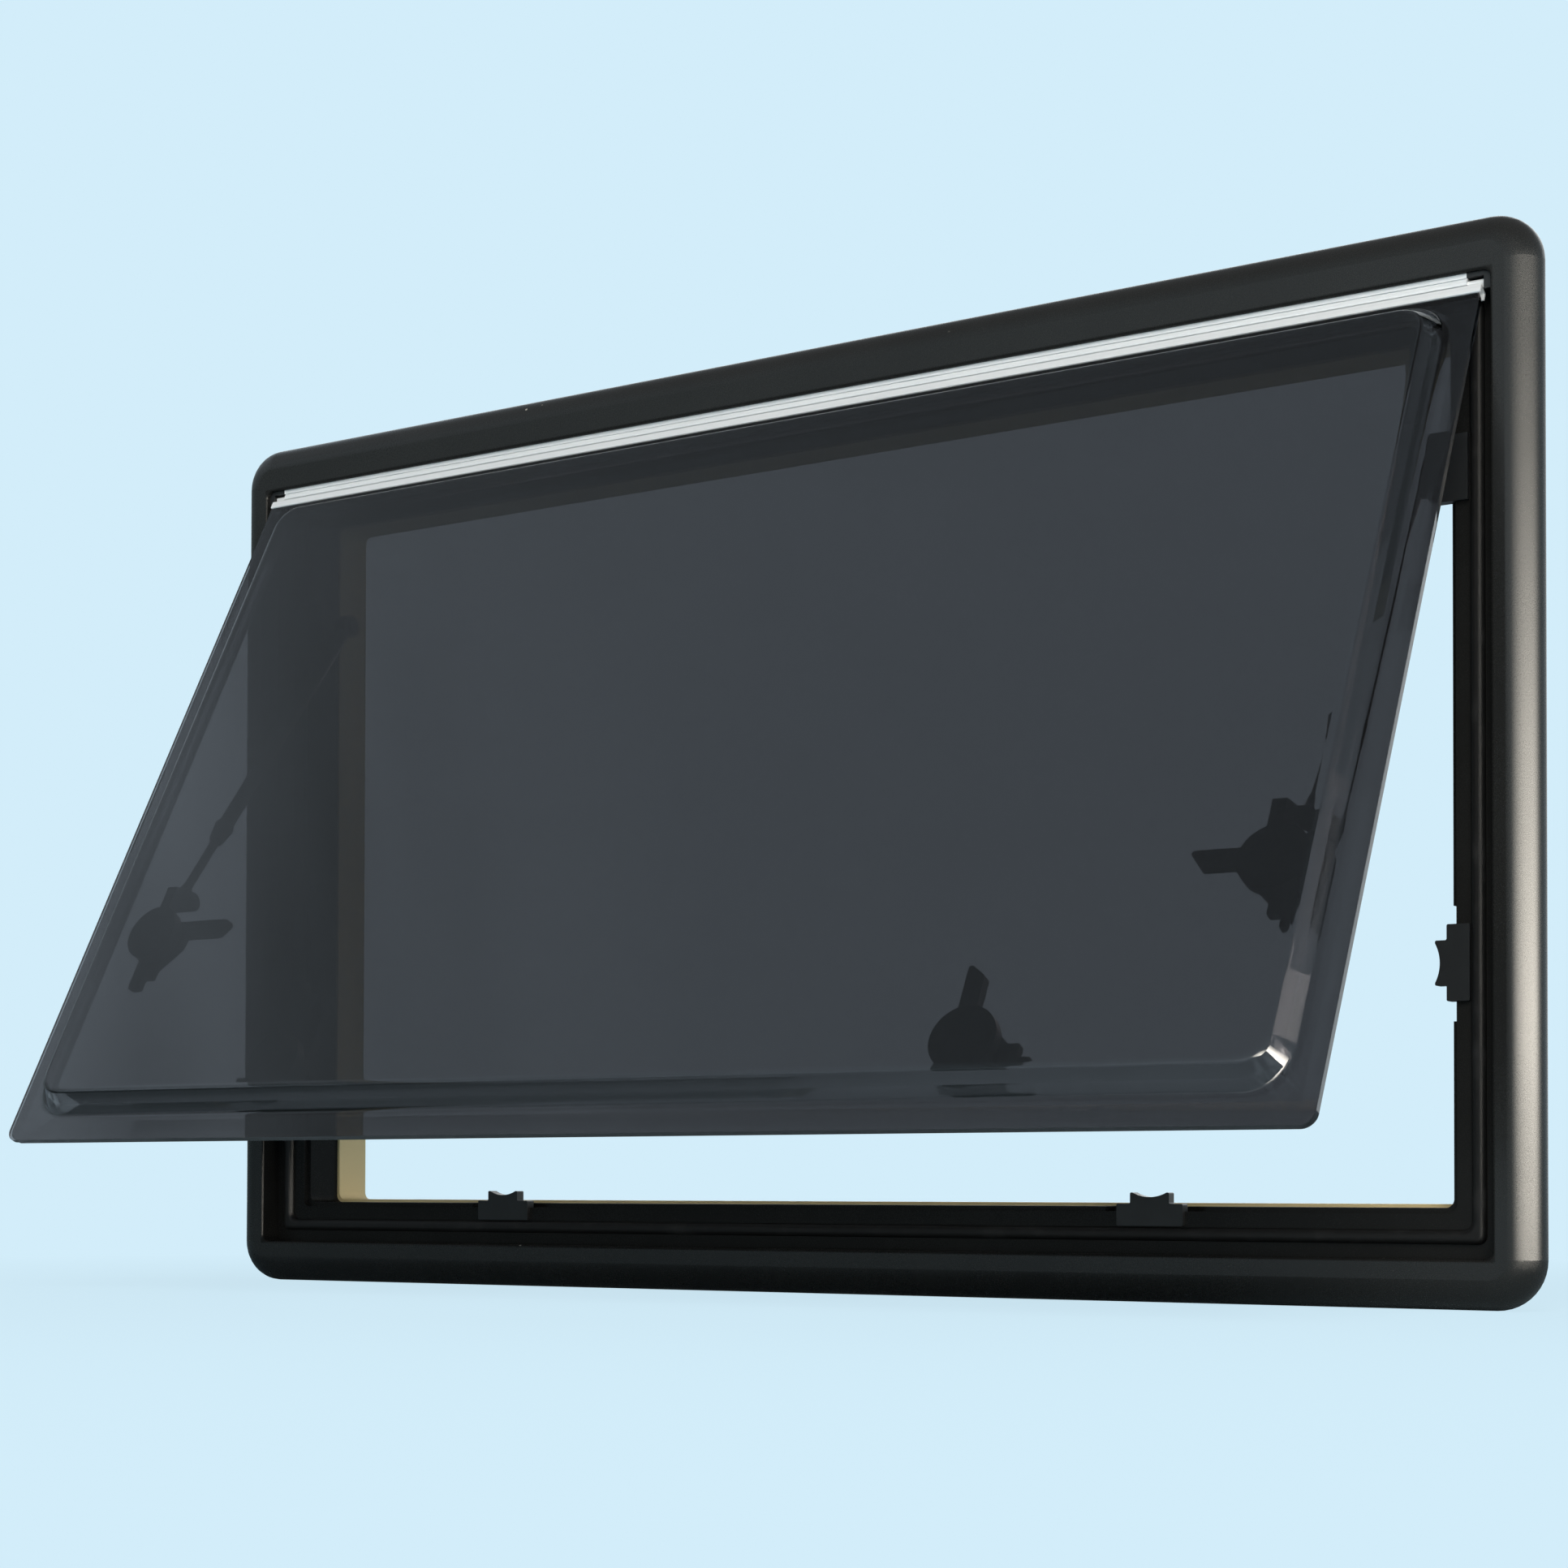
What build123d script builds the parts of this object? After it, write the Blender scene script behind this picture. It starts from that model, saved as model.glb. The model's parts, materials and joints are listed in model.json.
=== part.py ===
"""Top-hung caravan window, open, with its frame, sash, latches and stays.

X runs along the window, +Y points into the caravan and Z points up. The origin
lies on the back face of the outer flange, in the middle of its bottom strip.
Sash pieces are drawn with the window closed and then swung open by OPEN_REST.
"""
import os
from math import atan2, cos, degrees, hypot, radians, sin

from build123d import *

# Outer frame, all sizes in millimetres
FRAME_W = 950.0
FRAME_H = 600.0
FRAME_CORNER = 28.0
FLANGE_T = 18.0
NOSE_R = 17.0
FACE_EDGE_R = 1.5
FACE_SIDE = 25.0
FACE_BOTTOM = 28.0
FACE_TOP = 32.5
RECESS_CORNER = 5.0
FLOOR_FRONT = -2.0
FLOOR_BACK = 2.0
LIP_IN = 28.0
FLOOR_IN = 25.0
TOP_EXTRA = -6.0
POCKET_DEEP = 15.0
POCKET_HALF = 32.0
POCKET_Y = 11.5
NECK_IN = 26.0
NECK_CORNER = 12.0
WALL_T = 30.0
SEAT_MID = 13.0

# Rubber bulb seal in the recess
SEAL_IN = 8.0
SEAL_W = 8.0
SEAL_H = 4.0
SEAL_TOP_EXTRA = 3.0

# Inner clamping frame
INNER_EDGE = 18.0
INNER_D = 28.0
INNER_T = 3.0
INNER_STEP = 2.0
INNER_LEG = 5.0

# Hinge along the top
HINGE_DROP = 38.0
HINGE_Y = -11.0
OPEN_REST = 27.7
OPEN_MAX = 45.0
BEAD_R = 2.0
BEAD_GAP = 0.3
RAIL_T = 1.4
WEB_T = 1.8
MOUTH_SPARE = 30.0
RAIL_SHORT = 9.0
END_GAP = 0.6

# Double acrylic sash
SASH_GAP = 5.0
SASH_BOTTOM_GAP = 6.0
SKIN_T = 3.0
SASH_CORNER = 8.0
CLAMP_TOP = 4.4
CLAMP_T = 1.2
CLAMP_LEN = 5.6
RIM = 15.0
DOME_BOTTOM_RIM = 18.0
DOME_TOP_RIM = 4.0
DOME_RISE = 12.0
DOME_RUN = 11.0
DOME_CORNER = 26.0
DOME_EDGE_R = 6.0
DOME_FOOT_R = 5.0

# Turning latches and their keepers
LATCH_IN = 29.0
BOTTOM_LATCH_IN = 34.0
LATCH_R = 19.5
LATCH_BASE_H = 8.0
LATCH_GAP = 0.3
SIDE_LATCH_DROP = 371.0
BOTTOM_LATCH_X = 241.0
SPINDLE_R = 4.0
SPINDLE_H = 6.0
HUB_R = 16.0
HUB_H = 9.0
LEVER_W = 11.0
LEVER_OFF = 9.5
LEVER_REACH = 54.0
LEVER_SLANT = 8.5
LEVER_T = 7.0
TAIL_REACH = 36.0
TAIL_STEP = 28.0
TAIL_EDGE = 2.4
TAIL_MID = 5.8
TAIL_FAR = 14.5
TAIL_T = 5.0
KEEPER_L = 42.5
KEEPER_OUT = 1.6
KEEPER_BACK = 8.4
KEEPER_T = 3.0
NOSE_L = 25.0
NOSE_OUT = 8.2
KEEPER_GAP = 4.0

# Telescopic stays
STAY_OUT = 7.0
PIVOT_A_DROP = 94.0
PIVOT_A_Y = 15.0
PIVOT_B_DROP = 337.0
PIVOT_B_Y = 9.0
TUBE_R = 5.0
TUBE_END = 199.0
COLLAR_END = 213.0
COLLAR_R = 6.8
ROD_R = 3.0
ROD_LEN = 100.0
ROD_GAP = 0.3
EYE_A_R = 8.0
EYE_A_W = 9.0
EYE_B_R = 6.5
EYE_B_W = 11.0
EYE_B_NECK = 14.0
PIN_R = 3.0
PIN_HEAD_R = 5.0
LUG_T = 8.0
ARM_T = 5.0
BRACKET_UP = 15.0
BRACKET_DOWN = 22.0
BRACKET_BACK = 8.0
BRACKET_STEP = 3.0

# Positions that follow from the sizes above
Z_BOTTOM = -SEAT_MID
Z_TOP = FRAME_H - SEAT_MID
HALF_W = FRAME_W / 2
HINGE_Z = Z_TOP - HINGE_DROP
SASH_HALF = HALF_W - FACE_SIDE - SASH_GAP
SASH_BOTTOM = Z_BOTTOM + FACE_BOTTOM + SASH_BOTTOM_GAP
SASH_TOP = HINGE_Z - CLAMP_TOP - CLAMP_T
PANE_FRONT = HINGE_Y - SKIN_T
PANE_BACK = HINGE_Y + SKIN_T
CLAMP_BOTTOM = HINGE_Z - CLAMP_TOP - CLAMP_LEN
LIP_X = HALF_W - FACE_SIDE - LIP_IN
LIP_LOW = Z_BOTTOM + FACE_BOTTOM + LIP_IN
SIDE_LATCH_X = LIP_X - LATCH_IN
SIDE_LATCH_Z = HINGE_Z - SIDE_LATCH_DROP
BOTTOM_LATCH_Z = LIP_LOW + BOTTOM_LATCH_IN
STAY_X = SIDE_LATCH_X + STAY_OUT
LATCH_TOP = PANE_BACK + LATCH_BASE_H


def slab(half_w, z_low, z_high, y_front, y_back, corner):
    """Rounded rectangular block between two depths."""
    middle = (0, y_front, (z_low + z_high) / 2)
    plane = Plane(origin=middle, x_dir=(1, 0, 0), z_dir=(0, 1, 0))
    outline = plane * RectangleRounded(2 * half_w, z_high - z_low, corner)
    return extrude(outline, amount=y_back - y_front)


def frame_slab(inset, y_front, y_back, corner, face=True, top=0.0):
    """Block inset from the frame's edge, or from its recess when face is true."""
    side = inset + (FACE_SIDE if face else 0.0)
    low = inset + (FACE_BOTTOM if face else 0.0)
    high = inset + top + (FACE_TOP if face else 0.0)
    return slab(HALF_W - side, Z_BOTTOM + low, Z_TOP - high, y_front, y_back, corner)


def bar(section, length):
    """Extrude a section drawn in Y and Z along X, centred on X = 0."""
    plane = Plane(origin=(-length / 2, 0, 0), x_dir=(0, 1, 0), z_dir=(1, 0, 0))
    return extrude(plane * section, amount=length)


def block(x, y, z):
    """Box from pairs of limits."""
    size = (abs(x[1] - x[0]), abs(y[1] - y[0]), abs(z[1] - z[0]))
    middle = ((x[0] + x[1]) / 2, (y[0] + y[1]) / 2, (z[0] + z[1]) / 2)
    return Pos(*middle) * Box(*size)


def swing(shape, angle=OPEN_REST):
    """Swing a piece of the closed sash outwards about the hinge."""
    return shape.rotate(Axis((0, HINGE_Y, HINGE_Z), (-1, 0, 0)), angle)


def mirrored(shape):
    """The same piece for the left-hand side."""
    return mirror(shape, about=Plane.YZ)


def outer_frame():
    """Black moulded frame: bullnose flange, stepped recess and pockets for the bolts."""
    flange = frame_slab(0.0, -FLANGE_T, 0.0, FRAME_CORNER, face=False)
    front = flange.faces().sort_by(Axis.Y)[0]
    flange = fillet(front.edges(), NOSE_R)
    neck = frame_slab(NECK_IN, 0.0, WALL_T, NECK_CORNER, face=False)
    recess = frame_slab(0.0, -FLANGE_T - 1.0, FLOOR_FRONT, RECESS_CORNER)
    body = flange + neck - recess
    front = body.faces().filter_by(Axis.Y).sort_by(Axis.Y)[0]
    body = fillet(front.inner_wires()[0].edges(), FACE_EDGE_R)
    floor = frame_slab(FLOOR_IN, FLOOR_FRONT, FLOOR_BACK, RECESS_CORNER, top=TOP_EXTRA)
    lip = frame_slab(LIP_IN, FLOOR_BACK, WALL_T, RECESS_CORNER, top=TOP_EXTRA)
    body = body - floor - lip
    for pocket in bolt_pockets():
        body = body - pocket
    return body


def bolt_pockets():
    """Room behind the recess's floor in which the four bolts turn."""
    depth = (FLOOR_BACK, FLOOR_BACK + POCKET_Y)
    level = (SIDE_LATCH_Z - POCKET_HALF, SIDE_LATCH_Z + POCKET_HALF)
    right = block((LIP_X - 1.0, LIP_X + POCKET_DEEP), depth, level)
    along = (BOTTOM_LATCH_X - POCKET_HALF, BOTTOM_LATCH_X + POCKET_HALF)
    under = block(along, depth, (LIP_LOW - POCKET_DEEP, LIP_LOW + 1.0))
    return [right, mirrored(right), under, mirrored(under)]


def frame_seal():
    """Bulb seal that the inner pane closes on."""
    front = FLOOR_FRONT - SEAL_H
    outer = frame_slab(SEAL_IN, front, FLOOR_FRONT, RECESS_CORNER, top=SEAL_TOP_EXTRA)
    inside = frame_slab(SEAL_IN + SEAL_W, front, FLOOR_FRONT, RECESS_CORNER, top=SEAL_TOP_EXTRA)
    ring = outer - inside
    face = ring.faces().sort_by(Axis.Y)[0]
    return fillet(face.edges(), SEAL_W / 2 - 0.6)


def inner_frame():
    """Cream frame that clamps the wall from inside and lines the opening."""
    end = WALL_T + INNER_D
    window = LIP_IN + INNER_STEP
    shell = frame_slab(INNER_EDGE, WALL_T, end, FRAME_CORNER - INNER_EDGE, face=False)
    face = shell.faces().sort_by(Axis.Y)[-1]
    shell = fillet(face.edges(), INNER_T + 3.0)
    leg = frame_slab(window - INNER_LEG, WALL_T, end - INNER_T, RECESS_CORNER, top=TOP_EXTRA)
    edge = INNER_EDGE + INNER_T
    hollow = frame_slab(edge, WALL_T, end - INNER_T, FRAME_CORNER - edge, face=False)
    hollow = hollow - leg
    opening = frame_slab(window, WALL_T, end, RECESS_CORNER, top=TOP_EXTRA)
    return shell - hollow - opening


def hinge_rail():
    """Fixed rail whose open groove holds the sash's bead through the whole swing."""
    outer_r = BEAD_R + BEAD_GAP + RAIL_T
    half_web = degrees(atan2(WEB_T / 2, BEAD_R + BEAD_GAP))
    first = radians(-half_web - MOUTH_SPARE / 3)
    last = radians(OPEN_MAX + half_web + MOUTH_SPARE / 3)
    reach = 3 * outer_r
    angles = [first + (last - first) * step / 3 for step in range(4)]
    rays = [(HINGE_Y - reach * sin(a), HINGE_Z - reach * cos(a)) for a in angles]
    mouth = make_face(Polyline((HINGE_Y, HINGE_Z), *rays, close=True))
    seat = Z_TOP - FACE_TOP
    plate_low = HINGE_Z + BEAD_R + BEAD_GAP + 0.6
    plate_y = (HINGE_Y - outer_r + FLOOR_FRONT) / 2
    plate = Pos(plate_y, (plate_low + seat) / 2) * Rectangle(
        FLOOR_FRONT - HINGE_Y + outer_r, seat - plate_low
    )
    ring = Pos(HINGE_Y, HINGE_Z) * Circle(outer_r)
    groove = Pos(HINGE_Y, HINGE_Z) * Circle(BEAD_R + BEAD_GAP)
    return bar(plate + ring - groove - mouth, 2 * (SASH_HALF - RAIL_SHORT))


def rail_end():
    """Plastic stop that closes the rail's end and keeps the sash from sliding sideways."""
    front = HINGE_Y - BEAD_R - BEAD_GAP - RAIL_T
    shelf = HINGE_Z + BEAD_R + BEAD_GAP + RAIL_T / 2
    wall = HALF_W - FACE_SIDE
    depth = (front, FLOOR_FRONT)
    top = block((SASH_HALF - RAIL_SHORT, wall), depth, (shelf, Z_TOP - FACE_TOP))
    stop = block((SASH_HALF + END_GAP, wall), depth, (HINGE_Z - CLAMP_TOP, shelf))
    return (top + stop) & frame_slab(0.0, -FLANGE_T, FLOOR_FRONT, RECESS_CORNER)


def sash_hinge_strip():
    """Aluminium strip: a round bead, a thin web and a channel that grips both panes."""
    bead = Pos(HINGE_Y, HINGE_Z) * Circle(BEAD_R)
    web = Pos(HINGE_Y, HINGE_Z - CLAMP_TOP / 2) * Rectangle(WEB_T, CLAMP_TOP)
    outside = 2 * (SKIN_T + CLAMP_T)
    grip = Pos(HINGE_Y, (CLAMP_BOTTOM + HINGE_Z - CLAMP_TOP) / 2) * RectangleRounded(
        outside, CLAMP_LEN, 0.7
    )
    slot_h = SASH_TOP - CLAMP_BOTTOM + 1.0
    slot = Pos(HINGE_Y, SASH_TOP - slot_h / 2) * Rectangle(2 * SKIN_T, slot_h)
    return swing(bar(bead + web + grip - slot, 2 * SASH_HALF))


def outer_pane():
    """Formed outer skin: flat rim, thick sloping border and raised middle over the air gap."""
    rim = slab(SASH_HALF, SASH_BOTTOM, SASH_TOP, PANE_FRONT, HINGE_Y, SASH_CORNER)
    half = SASH_HALF - RIM
    low = SASH_BOTTOM + DOME_BOTTOM_RIM
    high = CLAMP_BOTTOM - DOME_TOP_RIM
    plane = Plane(origin=(0, PANE_FRONT, (low + high) / 2), x_dir=(1, 0, 0), z_dir=(0, -1, 0))
    outline = plane * RectangleRounded(2 * half, high - low, DOME_CORNER)
    dome = extrude(outline, amount=DOME_RISE, taper=degrees(atan2(DOME_RUN, DOME_RISE)))
    skin = rim + dome
    crown = skin.faces().filter_by(Axis.Y).sort_by(Axis.Y)[0]
    skin = fillet(crown.edges(), DOME_EDGE_R)
    border = skin.faces().filter_by(Axis.Y).sort_by(Axis.Y)[1]
    skin = fillet(border.inner_wires()[0].edges(), DOME_FOOT_R)
    top = PANE_FRONT - DOME_RISE + SKIN_T
    small = DOME_CORNER - DOME_RUN
    gap = slab(half - DOME_RUN, low + DOME_RUN, high - DOME_RUN, top, HINGE_Y, small)
    return swing(skin - gap)


def inner_pane():
    """Flat inner skin that carries the latches."""
    inset = 1.0
    return swing(slab(SASH_HALF - inset, SASH_BOTTOM + inset, SASH_TOP, HINGE_Y, PANE_BACK, SASH_CORNER))


def latch_plane(place, height):
    """Plane at a latch's axis, x along the pane's edge, and the sense of its y."""
    spots = {
        "right": ((SIDE_LATCH_X, SIDE_LATCH_Z), (0, 0, -1), 1),
        "left": ((-SIDE_LATCH_X, SIDE_LATCH_Z), (0, 0, -1), -1),
        "bottom_right": ((BOTTOM_LATCH_X, BOTTOM_LATCH_Z), (1, 0, 0), -1),
        "bottom_left": ((-BOTTOM_LATCH_X, BOTTOM_LATCH_Z), (-1, 0, 0), 1),
    }
    (x, z), along, sense = spots[place]
    return Plane(origin=(x, height, z), x_dir=along, z_dir=(0, 1, 0)), sense


def latch_base(place):
    """Round base on the inner pane, with its spindle and, at the sides, the stay's lug."""
    plane, _ = latch_plane(place, PANE_BACK)
    disc = extrude(plane * Circle(LATCH_R), amount=LATCH_BASE_H)
    top = disc.faces().sort_by(Axis.Y)[-1]
    disc = chamfer(top.edges(), 1.2)
    base = disc + extrude(plane * Circle(SPINDLE_R), amount=LATCH_BASE_H + SPINDLE_H)
    if place in ("left", "right"):
        lug = stay_lug()
        base = base + (lug if place == "right" else mirrored(lug))
    return swing(base)


def stay_lug():
    """Upright ear beside the stay's lower eye, on the right-hand latch base."""
    x_far = STAY_X - EYE_B_W / 2 - LATCH_GAP
    z_eye = HINGE_Z - PIVOT_B_DROP
    width = (x_far - LUG_T, x_far)
    foot = block(width, (PANE_BACK, LATCH_TOP), (SIDE_LATCH_Z + LEVER_OFF + LEVER_W / 2, z_eye))
    side = make_face(
        Polyline(
            (PANE_BACK, z_eye + 1.0),
            (PIVOT_B_Y, z_eye + EYE_B_R),
            (PIVOT_B_Y, z_eye - EYE_B_R),
            (LATCH_TOP, z_eye - EYE_B_R - 4.0),
            (PANE_BACK, z_eye - EYE_B_R - 4.0),
            close=True,
        )
    )
    plane = Plane(origin=(x_far - LUG_T, 0, 0), x_dir=(0, 1, 0), z_dir=(1, 0, 0))
    ear = extrude(plane * (side + Pos(PIVOT_B_Y, z_eye) * Circle(EYE_B_R)), amount=LUG_T)
    return foot + ear


def latch_handle(place):
    """Hub, lever and stepped bolt in one piece, turned to the unlocked position."""
    plane, sense = latch_plane(place, LATCH_TOP + LATCH_GAP)
    bolt = make_face(
        Polyline(
            (-LEVER_OFF, HUB_R + 4.0),
            (5.0, HUB_R + 1.5),
            (11.5, HUB_R - 4.7),
            (TAIL_STEP - 7.0, TAIL_EDGE),
            (TAIL_STEP, TAIL_EDGE),
            (TAIL_STEP, -TAIL_MID),
            (TAIL_REACH, -TAIL_MID),
            (TAIL_REACH, -TAIL_FAR),
            (-LEVER_OFF, -TAIL_FAR),
            close=True,
        )
    )
    ends = bolt.vertices().sort_by(Axis.X)[-4:]
    bolt = fillet(ends, 0.8)
    near = -LEVER_OFF - LEVER_W / 2
    far = -LEVER_OFF + LEVER_W / 2
    lever = make_face(
        Polyline((near, 0), (far, 0), (far, LEVER_REACH - LEVER_SLANT), (near, LEVER_REACH), close=True)
    )
    tips = lever.vertices().sort_by(Axis.Y)[-2:]
    lever = fillet(tips, 2.0)
    if sense < 0:
        bolt = mirror(bolt, about=Plane.XZ)
        lever = mirror(lever, about=Plane.XZ)
    hub = extrude(plane * Circle(HUB_R), amount=HUB_H)
    hub = chamfer(hub.faces().sort_by(Axis.Y)[-1].edges(), 1.0)
    tail = extrude(plane.offset(3.0) * bolt, amount=TAIL_T)
    grip = extrude(plane.offset(4.0) * lever, amount=LEVER_T)
    grip = chamfer(grip.faces().sort_by(Axis.Y)[-1].edges(), 1.0)
    bore = extrude(plane * Circle(SPINDLE_R + LATCH_GAP), amount=SPINDLE_H + LATCH_GAP)
    return swing(hub + tail + grip - bore)


def keeper(at_side):
    """Stepped keeper over the recess's inner edge, its nose hollowed around the latch."""
    plane = Plane(origin=(0, FLOOR_FRONT - KEEPER_T, 0), x_dir=(1, 0, 0), z_dir=(0, 1, 0))
    depth = KEEPER_T + FLOOR_BACK - FLOOR_FRONT
    back = KEEPER_BACK + LIP_IN - FLOOR_IN
    body = Pos(0, (back - KEEPER_OUT) / 2) * Rectangle(KEEPER_L, KEEPER_OUT + back)
    nose = Pos(0, (back - NOSE_OUT) / 2) * Rectangle(NOSE_L, NOSE_OUT + back)
    hollow = Pos(0, -LATCH_IN) * Circle(LATCH_R + KEEPER_GAP)
    outline = body + nose - hollow
    outer = outline.vertices().filter_by(lambda v: abs(v.X) > NOSE_L / 2 - 0.01)
    outline = fillet(outer, 0.9)
    seat = block((-KEEPER_L, KEEPER_L), (FLOOR_FRONT, FLOOR_BACK), (-LIP_IN, FLOOR_IN - LIP_IN))
    piece = extrude(plane * outline, amount=depth) - seat
    if at_side:
        turned = piece.rotate(Axis.Y, -90)
        return Pos(LIP_X, 0, SIDE_LATCH_Z) * turned
    return Pos(BOTTOM_LATCH_X, 0, LIP_LOW) * piece


def stay_bracket():
    """Bracket hooked over the recess's edge, with the arm and pin of the upper stay pivot."""
    z_pin = HINGE_Z - PIVOT_A_DROP
    z = (z_pin - BRACKET_DOWN, z_pin + BRACKET_UP)
    front = FLOOR_FRONT - KEEPER_T
    floor_edge = LIP_X + LIP_IN - FLOOR_IN
    x_eye = STAY_X + TUBE_R + 0.5
    plate = block((x_eye, floor_edge + BRACKET_BACK), (front, FLOOR_FRONT), z)
    hook = block((x_eye, floor_edge), (front, FLOOR_BACK), z)
    notch = block((x_eye, x_eye + 2 * BRACKET_STEP), (front, FLOOR_BACK), (z[0], z[0] + BRACKET_STEP))
    arm = block((x_eye, x_eye + ARM_T), (front, PIVOT_A_Y), (z_pin - EYE_A_R, z_pin + EYE_A_R))
    plane = Plane(origin=(x_eye + ARM_T, PIVOT_A_Y, z_pin), x_dir=(0, 1, 0), z_dir=(-1, 0, 0))
    tip = extrude(plane * Circle(EYE_A_R), amount=ARM_T)
    pin_len = ARM_T + 2 * TUBE_R + 2 * 0.5
    pin = extrude(plane * Circle(PIN_R), amount=pin_len)
    head = extrude(plane.offset(pin_len) * Circle(PIN_HEAD_R), amount=2.0)
    return plate + hook - notch + arm + tip + pin + head


def stay_line():
    """Upper pivot, unit direction and length of the stay with the sash at rest."""
    turn = radians(OPEN_REST)
    dy = PIVOT_B_Y - HINGE_Y
    dz = -PIVOT_B_DROP
    eye_y = HINGE_Y + dy * cos(turn) + dz * sin(turn)
    eye_z = HINGE_Z + dz * cos(turn) - dy * sin(turn)
    start = (PIVOT_A_Y, HINGE_Z - PIVOT_A_DROP)
    span = (eye_y - start[0], eye_z - start[1])
    length = hypot(*span)
    return start, (span[0] / length, span[1] / length), length


def stay_plane(distance):
    """Plane across the right-hand stay at a distance from its upper pivot."""
    start, way, _ = stay_line()
    origin = (STAY_X, start[0] + way[0] * distance, start[1] + way[1] * distance)
    return Plane(origin=origin, x_dir=(1, 0, 0), z_dir=(0, way[0], way[1]))


def cross_disc(distance, radius, width):
    """Disc across the stay with its axis along X."""
    start, way, _ = stay_line()
    origin = (STAY_X - width / 2, start[0] + way[0] * distance, start[1] + way[1] * distance)
    plane = Plane(origin=origin, x_dir=(0, 1, 0), z_dir=(1, 0, 0))
    return extrude(plane * Circle(radius), amount=width)


def stay_tube():
    """Tube with the eye that turns on the bracket's pin."""
    tube = extrude(stay_plane(0.0) * Circle(TUBE_R), amount=TUBE_END)
    bore = extrude(stay_plane(60.0) * Circle(ROD_R + ROD_GAP), amount=TUBE_END)
    eye = cross_disc(0.0, EYE_A_R, EYE_A_W)
    hole = cross_disc(0.0, PIN_R + ROD_GAP, 4 * TUBE_R)
    return tube + eye - bore - hole


def stay_collar():
    """Tapered collar that closes the tube's end around the rod."""
    length = COLLAR_END - TUBE_END
    upright = (Align.CENTER, Align.CENTER, Align.MIN)
    cone = stay_plane(TUBE_END) * Cone(COLLAR_R, ROD_R + 1.8, length, align=upright)
    bore = extrude(stay_plane(TUBE_END) * Circle(ROD_R + ROD_GAP), amount=length)
    return cone - bore


def stay_rod():
    """Sliding rod."""
    _, _, length = stay_line()
    start = length - EYE_B_NECK - ROD_LEN
    return extrude(stay_plane(start) * Circle(ROD_R), amount=ROD_LEN)


def stay_eye():
    """Lower eye on the rod's end."""
    _, _, length = stay_line()
    upright = (Align.CENTER, Align.CENTER, Align.MIN)
    neck = stay_plane(length - EYE_B_NECK) * Cone(ROD_R + 0.6, EYE_B_W / 2 - 0.5, EYE_B_NECK, align=upright)
    hole = cross_disc(length, PIN_R, 2 * EYE_B_W)
    return neck + cross_disc(length, EYE_B_R, EYE_B_W) - hole


def pieces():
    """Every piece under its name."""
    parts = {
        "outer_frame": outer_frame(),
        "frame_seal": frame_seal(),
        "inner_frame": inner_frame(),
        "hinge_rail": hinge_rail(),
        "sash_hinge_strip": sash_hinge_strip(),
        "outer_pane": outer_pane(),
        "inner_pane": inner_pane(),
    }
    for place in ("left", "right", "bottom_left", "bottom_right"):
        parts["latch_base_" + place] = latch_base(place)
        parts["latch_handle_" + place] = latch_handle(place)
    paired = {
        "rail_end_": rail_end(),
        "keeper_": keeper(True),
        "keeper_bottom_": keeper(False),
        "stay_bracket_": stay_bracket(),
        "stay_tube_": stay_tube(),
        "stay_collar_": stay_collar(),
        "stay_rod_": stay_rod(),
        "stay_eye_": stay_eye(),
    }
    for name, shape in paired.items():
        parts[name + "right"] = shape
        parts[name + "left"] = mirrored(shape)
    return parts


if __name__ == "__main__":
    os.makedirs("parts", exist_ok=True)
    for name, shape in pieces().items():
        export_step(shape, "parts/" + name + ".step")
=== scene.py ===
"""Finishes, screws and studio stage for a top-hung caravan window."""
import json
import math

import bpy
from bpy.props import FloatProperty, FloatVectorProperty, IntProperty, PointerProperty
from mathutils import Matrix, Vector


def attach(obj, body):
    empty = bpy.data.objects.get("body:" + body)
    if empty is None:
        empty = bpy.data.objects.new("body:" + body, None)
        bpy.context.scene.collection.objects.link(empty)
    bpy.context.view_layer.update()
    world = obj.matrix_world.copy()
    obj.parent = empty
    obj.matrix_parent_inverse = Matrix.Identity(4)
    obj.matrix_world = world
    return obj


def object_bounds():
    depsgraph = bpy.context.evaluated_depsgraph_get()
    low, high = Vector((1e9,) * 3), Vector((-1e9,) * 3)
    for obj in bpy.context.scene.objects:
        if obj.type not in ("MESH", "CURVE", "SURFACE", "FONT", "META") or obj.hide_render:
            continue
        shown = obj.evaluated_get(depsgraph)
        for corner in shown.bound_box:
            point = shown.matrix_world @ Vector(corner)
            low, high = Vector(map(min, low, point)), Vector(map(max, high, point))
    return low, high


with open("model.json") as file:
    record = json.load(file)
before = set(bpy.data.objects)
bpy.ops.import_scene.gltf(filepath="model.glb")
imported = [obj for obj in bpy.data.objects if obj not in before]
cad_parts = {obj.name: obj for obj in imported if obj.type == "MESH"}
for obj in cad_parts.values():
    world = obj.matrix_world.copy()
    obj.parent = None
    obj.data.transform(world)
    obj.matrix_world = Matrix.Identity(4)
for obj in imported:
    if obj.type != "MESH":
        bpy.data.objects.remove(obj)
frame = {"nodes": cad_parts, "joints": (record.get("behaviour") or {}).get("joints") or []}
CAD_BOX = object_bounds()

bl_info = {
    "name": "Caravan window",
    "version": (1, 0, 0),
    "blender": (4, 5, 0),
    "location": "3D View > Sidebar > Caravan window",
    "description": "Dresses a top-hung caravan window and sets its studio stage",
    "category": "Object",
}

SIDES = ("left", "right")
PLACES = ("left", "right", "bottom_left", "bottom_right")
LATCH_JOINT = "latch_turn_"

# The outer frame's recess, in metres: half its width, its lower and its upper wall
RECESS_HALF, RECESS_LOW, RECESS_HIGH = 0.450, 0.015, 0.5545
RECESS_EDGE = (0.002, 0.0005)
# Share of gloss taken off inside the recess, as painted shade
RECESS_PAINTED_SHADE = 0.8

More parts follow.
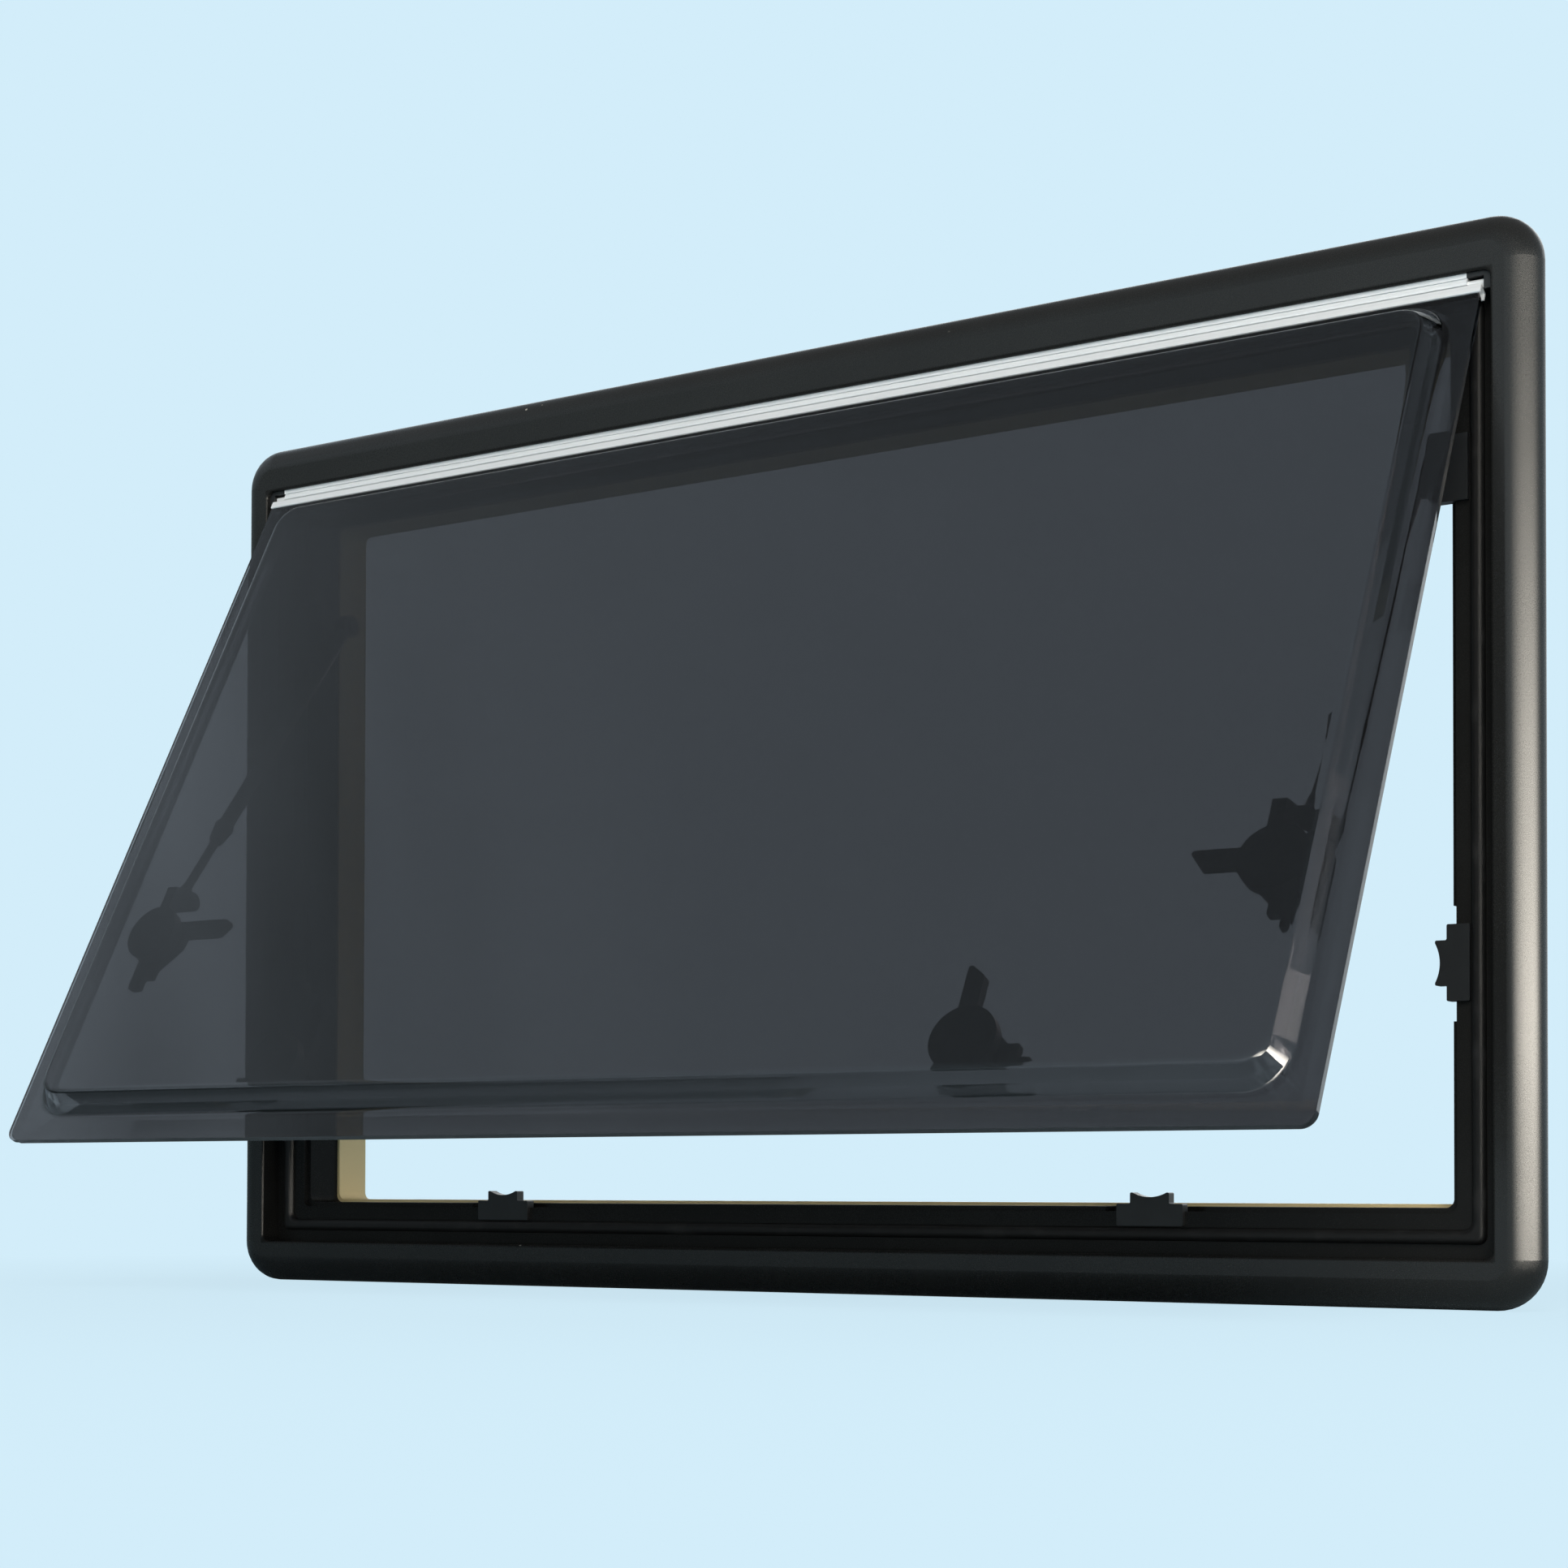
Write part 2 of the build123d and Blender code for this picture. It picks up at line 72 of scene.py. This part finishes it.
# Screw head: sides of its cone, share of the radius at its top, reach of the cross
HEAD_SIDES, HEAD_TAPER, CROSS_REACH = 24, 0.72, 1.15

# Tones of dust, of the floor in reflections and of the parts of the sky
DUST = (0.45, 0.42, 0.36, 1.0)
FLOOR_MIRRORED = (0.10, 0.12, 0.13, 1.0)
SKY_TOP = (0.165, 0.175, 0.185, 1.0)
SKY_DIM = (0.10, 0.13, 0.13, 1.0)
SKY_STREAK = (0.72, 0.84, 0.95, 1.0)
SKY_BEHIND = (3.6, 3.7, 3.7, 1.0)
SKY_FRONT = (0.85, 0.95, 1.0, 1.0)
GLOW_GAIN = 33.0

FLOOR_REACH, FLOOR_DROP = 9.0, 0.0002

LAMP_PLACE, LAMP_TARGET = (1.4, -2.4, 2.0), (0.0, 0.0, 0.25)
LAMP_SIZE, LAMP_POWER, LAMP_TONE = 1.8, 76.0, (1.0, 0.96, 0.90)

# Camera: lens and sensor in millimetres, place in metres, turn in degrees
SENSOR, LENS, RISING_FRONT = 36.0, 63.11, 0.2246
CAMERA_PLACE = (0.9334, -1.4721, 0.0506)
CAMERA_TURN = (91.175, -0.143, 32.833)


def colour(name, description, default):
    """Colour property with a picker."""
    limits = {"size": 3, "min": 0.0, "max": 1.0, "subtype": "COLOR"}
    return FloatVectorProperty(name=name, description=description, default=default, **limits)


def length(name, description, default):
    """Length property in metres."""
    return FloatProperty(name=name, description=description, default=default, min=0.0, unit="LENGTH")


class WindowFinishes(bpy.types.PropertyGroup):
    """Colours of the window's materials and of its stage."""

    moulding: colour("Frame moulding", "Black of the outer frame", (0.011, 0.011, 0.0105))
    rubber: colour("Seal rubber", "Black of the bulb seal", (0.008, 0.008, 0.008))
    cream: colour("Inner frame", "Cream of the clamping frame", (0.80, 0.64, 0.34))
    metal: colour("Hinge metal", "Anodised silver of the hinge profiles", (0.86, 0.87, 0.88))
    tint: colour("Pane tint", "Light that passes one acrylic skin", (0.232, 0.220, 0.226))
    fitting: colour("Fittings", "Black of latches, keepers and stay ends", (0.010, 0.011, 0.012))
    tube: colour("Stay tubes", "Dark anodised tube and rod", (0.055, 0.055, 0.058))
    screw: colour("Screws", "Blackened steel of the screws", (0.060, 0.060, 0.064))
    glow: colour("Side light", "Warm tone of the light at the right", (1.0, 0.94, 0.83))
    backdrop: colour("Backdrop", "Pale blue behind the window", (0.651, 0.847, 0.956))


class WindowScrews(bpy.types.PropertyGroup):
    """Sizes of the cross-head screws that hold the latches."""

    head_r: length("Head radius", "Radius of a screw's head", 0.003)
    head_h: length("Head height", "Height of a screw's head", 0.0012)
    slot_w: length("Slot width", "Width of the cross in a head", 0.0009)
    hub_h: length("Hub height", "From the inner pane to the top of a latch's hub", 0.0173)
    seed: IntProperty(name="Seed", description="Chooses how far a cross is turned", default=7, min=0)


class Wire:
    """A shader socket that takes part in sums."""

    def __init__(self, finish, socket):
        self.finish = finish
        self.socket = socket

    def math(self, kind, other=None):
        """Result of one sum with this socket."""
        inputs = {0: self} if other is None else {0: self, 1: other}
        return self.finish.add("ShaderNodeMath", settings={"operation": kind}, inputs=inputs)

    def __add__(self, other):
        return self.math("ADD", other)

    def __sub__(self, other):
        return self.math("SUBTRACT", other)

    def __rsub__(self, other):
        return self.math("MULTIPLY", -1.0) + other

    def __mul__(self, other):
        return self.math("MULTIPLY", other)

    def __pow__(self, other):
        return self.math("POWER", other)

    __radd__ = __add__
    __rmul__ = __mul__

    def clamped(self, low, high, to_low=0.0, to_high=1.0):
        """Linear step from low to high, which may run downwards."""
        inputs = {0: self, 1: low, 2: high, 3: to_low, 4: to_high}
        return self.finish.add("ShaderNodeMapRange", settings={"clamp": True}, inputs=inputs)


class Finish:
    """Node tree of a material or of the world."""

    def __init__(self, owner):
        self.owner = owner
        owner.use_nodes = True
        self.tree = owner.node_tree
        self.tree.nodes.clear()

    def add(self, kind, out=0, settings=None, inputs=None):
        """Add any node, set it up and return the chosen output."""
        node = self.tree.nodes.new(kind)
        for key, value in (settings or {}).items():
            setattr(node, key, value)
        for key, value in (inputs or {}).items():
            if isinstance(value, Wire):
                self.tree.links.new(value.socket, node.inputs[key])
            else:
                node.inputs[key].default_value = value
        return Wire(self, node.outputs[out]) if node.outputs else node

    def place(self, stretch=(1.0, 1.0, 1.0)):
        """Object coordinates, stretched along the axes."""
        spot = self.add("ShaderNodeTexCoord", out="Object")
        return self.add("ShaderNodeMapping", inputs={"Vector": spot, "Scale": stretch})

    def noise(self, scale, detail=3.0, stretch=(1.0, 1.0, 1.0)):
        """Smooth noise between 0 and 1."""
        inputs = {"Vector": self.place(stretch), "Scale": scale, "Detail": detail}
        return self.add("ShaderNodeTexNoise", out="Fac", inputs=inputs)

    def axes(self, vector):
        """The three parts of a vector."""
        node = self.add("ShaderNodeSeparateXYZ", inputs={"Vector": vector}).socket.node
        return [Wire(self, socket) for socket in node.outputs]

    def ray(self, kind):
        """1 for light rays of a kind, else 0."""
        return self.add("ShaderNodeLightPath", out="Is " + kind + " Ray")

    def shown(self):
        """1 for rays from the camera, direct or through a pane."""
        return self.ray("Camera").math("MAXIMUM", self.ray("Transmission"))

    def blend(self, factor, first, second):
        """Colour between two colours."""
        inputs = {0: factor, 6: first, 7: second}
        return self.add("ShaderNodeMix", out=2, settings={"data_type": "RGBA"}, inputs=inputs)

    def bump(self, height, strength, distance):
        """Normal pushed in and out by a height."""
        inputs = {"Height": height, "Strength": strength, "Distance": distance}
        return self.add("ShaderNodeBump", inputs=inputs)

    def dust(self):
        """Sparse specks on faces that look up."""
        spots = {"Vector": self.place(), "Scale": 70.0}
        near = self.add("ShaderNodeTexVoronoi", out="Distance", inputs=spots).clamped(0.07, 0.05)
        tone = self.add("ShaderNodeTexVoronoi", out="Color", inputs=spots)
        red = self.add("ShaderNodeSeparateColor", out="Red", inputs={"Color": tone})
        normal = self.add("ShaderNodeNewGeometry", out="Normal")
        up = self.add("ShaderNodeSeparateXYZ", out="Z", inputs={"Vector": normal})
        return near * red.clamped(0.80, 0.82) * up.clamped(0.35, 0.6)

    def surface(self, painted_shade=None, **inputs):
        """Principled surface joined to the output, swapped for plain diffuse where painted shade is
        asked for.
        """
        named = {}
        for key, value in inputs.items():
            named[key.replace("_", " ").title().replace("Ior", "IOR")] = value
        shader = self.add("ShaderNodeBsdfPrincipled", inputs=named)
        if painted_shade is not None:
            plain = self.add("ShaderNodeBsdfDiffuse", inputs={"Color": inputs["base_color"]})
            shader = self.add("ShaderNodeMixShader", inputs={0: painted_shade, 1: shader, 2: plain})
        self.add("ShaderNodeOutputMaterial", inputs={"Surface": shader})
        return self.owner


def rgba(triple, gain=1.0):
    """Colour property as four numbers, made lighter or darker."""
    return tuple(min(1.0, c * gain) for c in triple) + (1.0,)


def material(name):
    """Finish of a new material."""
    return Finish(bpy.data.materials.new(name))


def recess_inside(f):
    """1 inside the outer frame's recess, 0 on its face."""
    x, _, z = f.axes(f.place())
    far, near = RECESS_EDGE
    wide = x.math("ABSOLUTE").clamped(RECESS_HALF + far, RECESS_HALF + near)
    above = z.clamped(RECESS_LOW - far, RECESS_LOW - near)
    below = z.clamped(RECESS_HIGH + far, RECESS_HIGH + near)
    return wide * above * below


def moulded_black(tint):
    """Integral-skin moulding: sandy grain, sheen, dust on its ledges, and painted shade inside the
    recess, where its gloss is taken off.
    """
    f = material("moulded_black")
    cloud = f.noise(scale=14.0, detail=4.0)
    grain = f.noise(scale=1400.0, detail=2.0)
    shade = f.blend(cloud, rgba(tint, 0.8), rgba(tint, 1.3))
    return f.surface(
        # Painted shade: the recess walls lose their reflections so that they read as shaded
        painted_shade=recess_inside(f) * RECESS_PAINTED_SHADE,
        base_color=f.blend(f.dust(), shade, DUST),
        roughness=cloud * 0.06 + grain * 0.08 + 0.20,
        sheen_weight=0.03,
        sheen_roughness=0.25,
        normal=f.bump(grain, strength=0.08, distance=0.0002),
    )


def seal_rubber(tint):
    """Dull extruded rubber with dust in its pores."""
    f = material("seal_rubber")
    pores = f.noise(scale=900.0, detail=3.0)
    dust = f.noise(scale=60.0, detail=5.0).clamped(0.55, 0.8)
    return f.surface(
        base_color=f.blend(dust, rgba(tint), rgba(tint, 2.6)),
        roughness=dust * 0.15 + 0.5,
        specular_ior_level=0.3,
        normal=f.bump(pores, strength=0.2, distance=0.0003),
    )


def cream_plastic(tint):
    """Satin cream moulding with a fine grain."""
    f = material("cream_plastic")
    cloud = f.noise(scale=9.0, detail=3.0)
    grain = f.noise(scale=1100.0, detail=2.0)
    return f.surface(
        base_color=f.blend(cloud, rgba(tint, 0.94), rgba(tint, 1.05)),
        roughness=grain * 0.12 + 0.40,
        normal=f.bump(grain, strength=0.15, distance=0.0002),
    )


def drawn_metal(name, tint, rough, shine):
    """Drawn metal with a treated surface: lines run along X."""
    f = material(name)
    lines = f.noise(scale=700.0, detail=3.0, stretch=(0.01, 1.0, 1.0))
    cloud = f.noise(scale=18.0, detail=3.0)
    return f.surface(
        base_color=f.blend(lines, rgba(tint, 0.92), rgba(tint, 1.06)),
        metallic=shine,
        roughness=lines * 0.10 + cloud * 0.08 + rough,
        normal=f.bump(lines, strength=0.06, distance=0.0001),
    )


def tinted_acrylic(tint):
    """Polished grey acrylic with a trace of wiping marks."""
    f = material("tinted_acrylic")
    wipe = f.noise(scale=24.0, detail=4.0, stretch=(0.35, 1.0, 1.0)).clamped(0.45, 0.75)
    return f.surface(
        base_color=f.blend(wipe, rgba(tint), rgba(tint, 0.985)),
        roughness=wipe * 0.004,
        transmission_weight=1.0,
        ior=1.49,
    )


def satin_black(tint):
    """Black nylon fittings with a spark-eroded grain."""
    f = material("satin_black")
    grain = f.noise(scale=1600.0, detail=2.0)
    wear = f.noise(scale=45.0, detail=4.0).clamped(0.5, 0.75)
    return f.surface(
        base_color=f.blend(wear, rgba(tint), rgba(tint, 1.7)),
        roughness=grain * 0.12 + 0.38,
        normal=f.bump(grain, strength=0.2, distance=0.0002),
    )


def dress(nodes, finish):
    """Give CAD nodes one material."""
    for name in nodes:
        slots = frame["nodes"][name].data.materials
        slots.clear()
        slots.append(finish)


class FrameFinish(bpy.types.Operator):
    """Finish the outer frame, its seal and the inner frame"""

    bl_idname = "window.frame_finish"
    bl_label = "Frame finish"

    def execute(self, context):
        colours = context.scene.window_finishes
        dress(["outer_frame"], moulded_black(colours.moulding))
        dress(["frame_seal"], seal_rubber(colours.rubber))
        dress(["inner_frame"], cream_plastic(colours.cream))
        return {"FINISHED"}


class SashFinish(bpy.types.Operator):
    """Finish the panes and the hinge profiles"""

    bl_idname = "window.sash_finish"
    bl_label = "Sash finish"

    def execute(self, context):
        colours = context.scene.window_finishes
        dress(["outer_pane", "inner_pane"], tinted_acrylic(colours.tint))
        silver = drawn_metal("silver_anodised", colours.metal, rough=0.34, shine=0.35)
        dress(["hinge_rail", "sash_hinge_strip"], silver)
        return {"FINISHED"}


class FittingFinish(bpy.types.Operator):
    """Finish the latches, keepers, rail ends and stays"""

    bl_idname = "window.fitting_finish"
    bl_label = "Fitting finish"

    def execute(self, context):
        colours = context.scene.window_finishes
        black = satin_black(colours.fitting)
        names = ["latch_base_", "latch_handle_", "keeper_"]
        dress([n + p for n in names for p in PLACES], black)
        names = ["rail_end_", "stay_bracket_", "stay_collar_", "stay_eye_"]
        dress([n + s for n in names for s in SIDES], black)
        dark = drawn_metal("dark_anodised", colours.tube, rough=0.34, shine=1.0)
        dress([n + s for n in ("stay_tube_", "stay_rod_") for s in SIDES], dark)
        return {"FINISHED"}


class ScrewTree:
    """Geometry nodes that set a cross-head screw on every point of a mesh."""

    INPUTS = (
        ("Points", "Geometry"),
        ("Radius", "Float"),
        ("Height", "Float"),
        ("Slot", "Float"),
        ("Tilt", "Float"),
        ("Seed", "Int"),
        ("Finish", "Material"),
    )

    def __init__(self):
        self.tree = bpy.data.node_groups.new("cross_head_screws", "GeometryNodeTree")
        sockets = self.tree.interface
        for name, kind in self.INPUTS:
            sockets.new_socket(name, in_out="INPUT", socket_type="NodeSocket" + kind)
        sockets.new_socket("Screws", in_out="OUTPUT", socket_type="NodeSocketGeometry")
        self.build(self.tree.nodes.new("NodeGroupInput").outputs)

    def add(self, kind, settings=None, inputs=None):
        """Add a node, set it up and return its first output."""
        node = self.tree.nodes.new(kind)
        for key, value in (settings or {}).items():
            setattr(node, key, value)
        for key, value in (inputs or {}).items():
            for part in value if isinstance(value, list) else [value]:
                if isinstance(part, bpy.types.NodeSocket):
                    self.tree.links.new(part, node.inputs[key])
                else:
                    node.inputs[key].default_value = part
        return node.outputs[0] if node.outputs else node

    def times(self, value, factor):
        """A size made larger or smaller."""
        return self.add("ShaderNodeMath", {"operation": "MULTIPLY"}, {0: value, 1: factor})

    def vector(self, **axes):
        """Vector from sockets or numbers."""
        return self.add("ShaderNodeCombineXYZ", inputs=axes)

    def head(self, given):
        """Tapered head with a cross cut into its top."""
        radius, height, slot = given["Radius"], given["Height"], given["Slot"]
        sizes = {"Vertices": HEAD_SIDES, "Radius Bottom": radius, "Depth": height}
        sizes["Radius Top"] = self.times(radius, HEAD_TAPER)
        cone = self.add("GeometryNodeMeshCone", inputs=sizes)
        arm = self.times(radius, CROSS_REACH)
        lift = self.vector(Z=height)
        cross = []
        for x, y in ((arm, slot), (slot, arm)):
            cube = self.add("GeometryNodeMeshCube", inputs={"Size": self.vector(X=x, Y=y, Z=height)})
            raised = {"Geometry": cube, "Translation": lift}
            cross.append(self.add("GeometryNodeTransform", inputs=raised))
        solids = {"Mesh 1": cone, "Mesh 2": cross}
        return self.add("GeometryNodeMeshBoolean", {"operation": "DIFFERENCE"}, solids)

    def quarter_turn(self, seed):
        """Random angle up to a quarter turn."""
        node = self.tree.nodes.new("FunctionNodeRandomValue")
        low, high = [socket for socket in node.inputs if socket.type == "VALUE"][:2]
        low.default_value, high.default_value = 0.0, math.pi / 2
        self.tree.links.new(seed, node.inputs["Seed"])
        return [socket for socket in node.outputs if socket.type == "VALUE"][0]

    def build(self, given):
        """Heads on the points, each turned at random, as one mesh."""
        tilt = self.vector(X=given["Tilt"])
        spots = {"Points": given["Points"], "Instance": self.head(given), "Rotation": tilt}
        placed = self.add("GeometryNodeInstanceOnPoints", inputs=spots)
        turn = self.vector(Z=self.quarter_turn(given["Seed"]))
        turns = {"Instances": placed, "Rotation": turn}
        turned = self.add("GeometryNodeRotateInstances", inputs=turns)
        real = self.add("GeometryNodeRealizeInstances", inputs={"Geometry": turned})
        coat = {"Geometry": real, "Material": given["Finish"]}
        done = self.add("GeometryNodeSetMaterial", inputs=coat)
        self.add("NodeGroupOutput", inputs={"Screws": done})


class ScrewFittings(bpy.types.Operator):
    """Screws in the latches' hubs"""

    bl_idname = "window.screw_fittings"
    bl_label = "Screws"

    def execute(self, context):
        self.sizes = context.scene.window_screws
        self.tree = ScrewTree().tree
        tint = context.scene.window_finishes.screw
        self.finish = drawn_metal("blackened_steel", tint, rough=0.28, shine=1.0)
        for joint in frame["joints"]:
            if joint["name"].startswith(LATCH_JOINT):
                place = joint["name"][len(LATCH_JOINT):]
                axis = Vector(joint["axis"])
                inward = axis if axis.y > 0 else -axis
                spot = Vector(joint["pos_m"]) + inward * self.sizes.hub_h
                self.screw("latch_screw_" + place, spot, inward, "latch_" + place)
        return {"FINISHED"}

    def screw(self, name, spot, facing, body):
        """One screw that rides on a body."""
        points = bpy.data.meshes.new(name + "_points")
        points.from_pydata([spot], [], [])
        piece = bpy.data.objects.new(name, points)
        bpy.context.collection.objects.link(piece)
        values = {
            "Radius": self.sizes.head_r,
            "Height": self.sizes.head_h,
            "Slot": self.sizes.slot_w,
            "Tilt": math.atan2(-facing.y, facing.z),
            "Seed": self.sizes.seed,
            "Finish": self.finish,
        }
        modifier = piece.modifiers.new("screws", "NODES")
        modifier.node_group = self.tree
        for item in self.tree.interface.items_tree:
            if item.in_out == "INPUT" and item.name in values:
                modifier[item.identifier] = values[item.name]
        graph = bpy.context.evaluated_depsgraph_get()
        made = bpy.data.meshes.new_from_object(piece.evaluated_get(graph), depsgraph=graph)
        if not made.polygons:
            raise RuntimeError("no screw was made for " + name)
        piece.modifiers.clear()
        piece.data = made
        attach(piece, body)


class StudioStage(bpy.types.Operator):
    """Pale floor, soft light and the camera"""

    bl_idname = "window.studio_stage"
    bl_label = "Studio stage"

    def execute(self, context):
        scene = context.scene
        scene.view_settings.view_transform = "Standard"
        back = rgba(scene.window_finishes.backdrop)
        self.world(scene, back)
        self.floor(back)
        self.lamp()
        self.camera(scene)
        return {"FINISHED"}

    def world(self, scene, back):
        """Plain backdrop for the camera, and around it a sky that lights and is mirrored."""
        world = bpy.data.worlds.new("studio")
        scene.world = world
        f = Finish(world)
        lit = self.side_glow(f, self.sky(f, back), scene.window_finishes.glow)
        tone = f.blend(f.shown(), lit, back)
        shine = f.add("ShaderNodeBackground", inputs={"Color": tone, "Strength": 1.0})
        f.add("ShaderNodeOutputWorld", inputs={"Surface": shine})

    def sky(self, f, back):
        """Pale sky: darker overhead and low at the left, streaks at the left, two mirrored patches."""
        way = f.add("ShaderNodeTexCoord", out="Generated")
        x, y, z = f.axes(way)
        gloss = f.ray("Glossy")
        streak = f.add("ShaderNodeMapping", inputs={"Vector": way, "Scale": (9.0, 2.0, 2.0)})
        grain = {"Vector": streak, "Scale": 1.6, "Detail": 2.0}
        drift = f.add("ShaderNodeTexNoise", out="Fac", inputs=grain)
        dim = x.clamped(-0.25, -0.70) * z.clamped(0.45, 0.20) * (gloss * 0.38 + 0.60)
        left = x.clamped(-0.56, -0.74) * z.clamped(0.80, 0.60) * z.clamped(0.25, 0.45)
        behind = y.clamped(0.5, 0.8) * z.clamped(0.7, 0.3) * x.clamped(0.5, 0.0)
        front = y.clamped(-0.87, -0.94) * z.clamped(0.36, 0.28) * z.clamped(0.0, 0.12)
        sky = f.blend(z.clamped(0.0, 0.85) ** 0.4, back, SKY_TOP)
        sky = f.blend(dim, sky, SKY_DIM)
        sky = f.blend(left * drift.clamped(0.35, 0.65), sky, SKY_STREAK)
        sky = f.blend(behind * gloss, sky, SKY_BEHIND)
        return f.blend(front * gloss, sky, SKY_FRONT)

    def side_glow(self, f, sky, tone):
        """Warm light low at the right, stronger in reflections."""
        x, y, z = f.axes(f.add("ShaderNodeTexCoord", out="Generated"))
        side = (x * 0.906 - y * 0.423).clamped(0.50, 0.97) * y.clamped(0.45, 0.05)
        low = side * z.clamped(0.22, 0.05) * (f.ray("Glossy") * 0.82 + 0.18)
        return f.blend(low, sky, tuple(c * GLOW_GAIN for c in tone) + (1.0,))

    def floor(self, back):
        """Wide floor that fades into the backdrop and is darker in reflections."""
        mesh = bpy.data.meshes.new("studio_floor")
        reach, low = FLOOR_REACH, CAD_BOX[0].z - FLOOR_DROP
        turns = ((-1, -1), (1, -1), (1, 1), (-1, 1))
        mesh.from_pydata([(reach * x, reach * y, low) for x, y in turns], [], [(0, 1, 2, 3)])
        floor = bpy.data.objects.new("studio_floor", mesh)
        bpy.context.collection.objects.link(floor)
        f = material("studio_floor")
        spot = f.add("ShaderNodeTexCoord", out="Object")
        span = {"operation": "LENGTH"}
        far = f.add("ShaderNodeVectorMath", out="Value", settings=span, inputs={0: spot})
        paint = f.blend(f.noise(scale=300.0, detail=3.0), rgba(back[:3], 0.97), back)
        paint = f.blend(f.ray("Glossy") * 0.6, paint, FLOOR_MIRRORED)
        matt = f.add("ShaderNodeBsdfDiffuse", inputs={"Color": paint})
        glow = f.add("ShaderNodeEmission", inputs={"Color": back, "Strength": 1.0})
        fade = far.clamped(0.4, 1.2, 0.88, 1.0) * f.shown()
        mixed = f.add("ShaderNodeMixShader", inputs={0: fade, 1: matt, 2: glow})
        f.add("ShaderNodeOutputMaterial", inputs={"Surface": mixed})
        mesh.materials.append(f.owner)

    def lamp(self):
        """Soft square lamp at the front right, kept out of reflections."""
        data = bpy.data.lights.new("front_softbox", "AREA")
        data.size = LAMP_SIZE
        data.energy = LAMP_POWER
        data.color = LAMP_TONE
        lamp = bpy.data.objects.new("front_softbox", data)
        lamp.location = LAMP_PLACE
        aim = Vector(LAMP_TARGET) - Vector(LAMP_PLACE)
        lamp.rotation_euler = aim.to_track_quat("-Z", "Y").to_euler()
        lamp.visible_glossy = False
        bpy.context.collection.objects.link(lamp)

    def camera(self, scene):
        """Camera low at the right, level with the sill, with a rising front."""
        data = bpy.data.cameras.new("window_camera")
        data.sensor_width = SENSOR
        data.lens = LENS
        data.shift_y = RISING_FRONT
        data.clip_start, data.clip_end = 0.05, 60.0
        cam = bpy.data.objects.new("window_camera", data)
        cam.location = CAMERA_PLACE
        cam.rotation_euler = [math.radians(angle) for angle in CAMERA_TURN]
        bpy.context.collection.objects.link(cam)
        scene.camera = cam


class WindowPanel(bpy.types.Panel):
    """Lists the steps that dress the window"""

    bl_idname = "VIEW3D_PT_caravan_window"
    bl_label = "Caravan window"
    bl_space_type = "VIEW_3D"
    bl_region_type = "UI"
    bl_category = "Caravan window"

    def draw(self, context):
        for group in (context.scene.window_finishes, context.scene.window_screws):
            for key in group.__annotations__:
                self.layout.prop(group, key)
        for step in STEPS:
            self.layout.operator(step.bl_idname)


STEPS = (FrameFinish, SashFinish, FittingFinish, ScrewFittings, StudioStage)
GROUPS = (WindowFinishes, WindowScrews)


def register():
    """Register the groups, steps and panel."""
    for item in GROUPS + STEPS + (WindowPanel,):
        bpy.utils.register_class(item)
    bpy.types.Scene.window_finishes = PointerProperty(type=WindowFinishes)
    bpy.types.Scene.window_screws = PointerProperty(type=WindowScrews)


def unregister():
    """Undo register."""
    del bpy.types.Scene.window_screws
    del bpy.types.Scene.window_finishes
    for item in reversed(GROUPS + STEPS + (WindowPanel,)):
        bpy.utils.unregister_class(item)


def main():
    """Run every step in order."""
    register()
    for step in STEPS:
        group, name = step.bl_idname.split(".")
        getattr(getattr(bpy.ops, group), name)()


if __name__ == "__main__":
    main()
